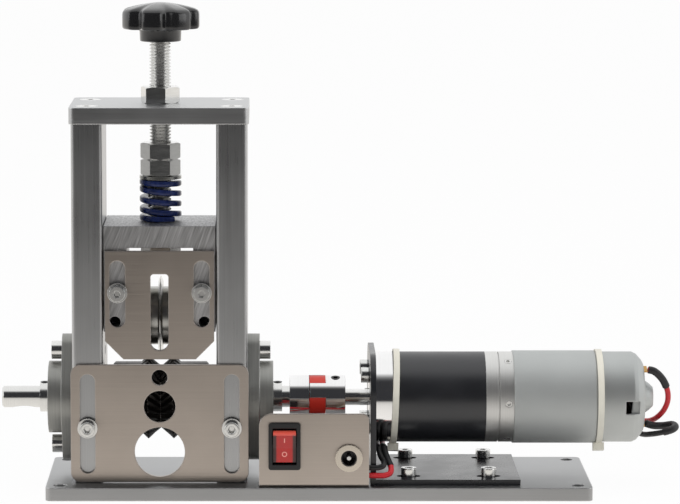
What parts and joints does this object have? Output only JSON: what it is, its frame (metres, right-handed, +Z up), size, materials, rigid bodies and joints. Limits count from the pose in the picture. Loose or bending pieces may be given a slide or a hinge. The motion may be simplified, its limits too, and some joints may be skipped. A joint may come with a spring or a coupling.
{
  "type": "electric wire stripper",
  "caption": "Motor-driven bench wire stripper: a knurled feed roller pulls cable through a guide hole under a spring-loaded round blade set by a star knob.",
  "frame": {"origin": "centre of the base plate's underside", "axes": "+X along the feed shaft from its free end towards the motor, +Y along the cable's way from the front guide plate to the back, +Z up"},
  "size_m": [0.3152, 0.0817, 0.2259],
  "materials": {
    "cast_aluminium": "satin",
    "base_aluminium": "satin",
    "brushed_plate": "brushed",
    "bright_steel": "polished",
    "plain_steel": "turned",
    "dark_steel": "blackened",
    "black_paint": "satin",
    "blue_paint": "gloss",
    "black_plastic": "gloss",
    "red_plastic": "gloss",
    "red_spider": "satin",
    "nylon": "satin",
    "red_insulation": "satin",
    "black_insulation": "satin",
    "gear_brass": "machined",
    "magnet": "ground",
    "laminations": "stacked"
  },
  "bodies": {
    "frame": {"base_plate": "base_aluminium", "left_column": "cast_aluminium", "right_column": "cast_aluminium", "top_plate": "cast_aluminium", "column_screws": "bright_steel", "left_bearing_housing": "cast_aluminium", "right_bearing_housing": "cast_aluminium", "bearing_races": "plain_steel", "bearing_screws": "bright_steel", "m4_cap_screws": "bright_steel", "guide_plate_washers": "bright_steel", "lock_nut": "bright_steel", "motor_bracket": "black_paint", "gearbox_front_cover": "bright_steel", "output_bearing": "plain_steel", "ring_gear": "black_paint", "gearbox_rear_plate": "bright_steel", "motor_front_plate": "bright_steel", "ring_screws": "bright_steel", "motor_can": "plain_steel", "motor_magnets": "magnet", "motor_end_cap": "plain_steel", "brush_terminals": "gear_brass", "cable_ties": "nylon", "red_lead": "red_insulation", "black_lead": "black_insulation", "switch_plate": "brushed_plate", "switch_body": "black_plastic", "power_jack": "bright_steel"},
    "guide": {"front_guide_plate": "brushed_plate"},
    "feed": {"feed_shaft": "bright_steel", "feed_roller": "dark_steel", "bearing_inner_rings": "bright_steel", "grub_screws": "black_paint", "coupling_hubs": "bright_steel", "coupling_spider": "red_spider", "output_shaft": "bright_steel"},
    "output_planet_a": {"output_planet_1": "gear_brass"},
    "output_planet_b": {"output_planet_2": "gear_brass"},
    "output_planet_c": {"output_planet_3": "gear_brass"},
    "first_stage": {"first_carrier": "plain_steel"},
    "input_planet_a": {"input_planet_1": "gear_brass"},
    "input_planet_b": {"input_planet_2": "gear_brass"},
    "input_planet_c": {"input_planet_3": "gear_brass"},
    "rotor": {"motor_shaft": "plain_steel", "armature": "laminations"},
    "seat": {"spring_seat": "plain_steel", "pressure_spring": "blue_paint"},
    "screw": {"star_knob": "black_plastic", "pressure_screw": "plain_steel", "screw_nuts": "bright_steel"},
    "yoke": {"yoke": "cast_aluminium", "blade_guard_screws": "bright_steel", "blade_axle": "plain_steel", "axle_set_screws": "black_paint"},
    "guard": {"blade_guard": "brushed_plate"},
    "blade": {"blade": "bright_steel", "blade_flanges": "plain_steel", "blade_bearings": "plain_steel"},
    "rocker": {"switch_rocker": "red_plastic"}
  },
  "joints": [
    {"name": "guide_lift", "type": "slide", "parent": "frame", "child": "guide", "axis": [0, 0, 1], "range_m": [0, 0.016]},
    {"name": "feed_spin", "type": "hinge", "parent": "frame", "child": "feed", "pos_m": [0, 0, 0.0418], "axis": [1, 0, 0], "continuous": true},
    {"name": "output_planet_a_spin", "type": "hinge", "parent": "feed", "child": "output_planet_a", "pos_m": [0, 0, 0.03055], "axis": [1, 0, 0], "continuous": true},
    {"name": "output_planet_b_spin", "type": "hinge", "parent": "feed", "child": "output_planet_b", "pos_m": [0, 0.00974, 0.04743], "axis": [1, 0, 0], "continuous": true},
    {"name": "output_planet_c_spin", "type": "hinge", "parent": "feed", "child": "output_planet_c", "pos_m": [0, -0.00974, 0.04743], "axis": [1, 0, 0], "continuous": true},
    {"name": "first_stage_spin", "type": "hinge", "parent": "frame", "child": "first_stage", "pos_m": [0, 0, 0.0418], "axis": [1, 0, 0], "continuous": true},
    {"name": "input_planet_a_spin", "type": "hinge", "parent": "first_stage", "child": "input_planet_a", "pos_m": [0, 0, 0.03055], "axis": [1, 0, 0], "continuous": true},
    {"name": "input_planet_b_spin", "type": "hinge", "parent": "first_stage", "child": "input_planet_b", "pos_m": [0, 0.00974, 0.04743], "axis": [1, 0, 0], "continuous": true},
    {"name": "input_planet_c_spin", "type": "hinge", "parent": "first_stage", "child": "input_planet_c", "pos_m": [0, -0.00974, 0.04743], "axis": [1, 0, 0], "continuous": true},
    {"name": "rotor_spin", "type": "hinge", "parent": "frame", "child": "rotor", "pos_m": [0, 0, 0.0418], "axis": [1, 0, 0], "continuous": true},
    {"name": "screw_feed", "type": "slide", "parent": "frame", "child": "seat", "axis": [0, 0, 1], "range_m": [-0.003, 0.0075]},
    {"name": "screw_turn", "type": "hinge", "parent": "seat", "child": "screw", "pos_m": [-0.073, 0, 0.21], "axis": [0, 0, 1], "range_deg": [-720, 1800]},
    {"name": "yoke_float", "type": "slide", "parent": "seat", "child": "yoke", "axis": [0, 0, 1], "range_m": [0, 0.003], "stiffness_N_per_m": 8000, "springref_m": -0.002, "deforming": ["pressure_spring"]},
    {"name": "guard_slide", "type": "slide", "parent": "yoke", "child": "guard", "axis": [0, 0, 1], "range_m": [-0.011, 0.012]},
    {"name": "blade_spin", "type": "hinge", "parent": "yoke", "child": "blade", "pos_m": [-0.073, 0, 0.08], "axis": [1, 0, 0], "continuous": true},
    {"name": "switch_rock", "type": "hinge", "parent": "frame", "child": "rocker", "pos_m": [-0.0158, -0.0355, 0.0251], "axis": [1, 0, 0], "range_deg": [-20, 0]}
  ],
  "couplings": [
    {"joint": "output_planet_a_spin", "follows": "feed_spin", "ratio": -2.6667},
    {"joint": "output_planet_b_spin", "follows": "feed_spin", "ratio": -2.6667},
    {"joint": "output_planet_c_spin", "follows": "feed_spin", "ratio": -2.6667},
    {"joint": "first_stage_spin", "follows": "feed_spin", "ratio": 5},
    {"joint": "input_planet_a_spin", "follows": "feed_spin", "ratio": -13.333},
    {"joint": "input_planet_b_spin", "follows": "feed_spin", "ratio": -13.333},
    {"joint": "input_planet_c_spin", "follows": "feed_spin", "ratio": -13.333},
    {"joint": "rotor_spin", "follows": "feed_spin", "ratio": 25},
    {"joint": "screw_turn", "follows": "screw_feed", "rad_per_m": 4188.8}
  ]
}
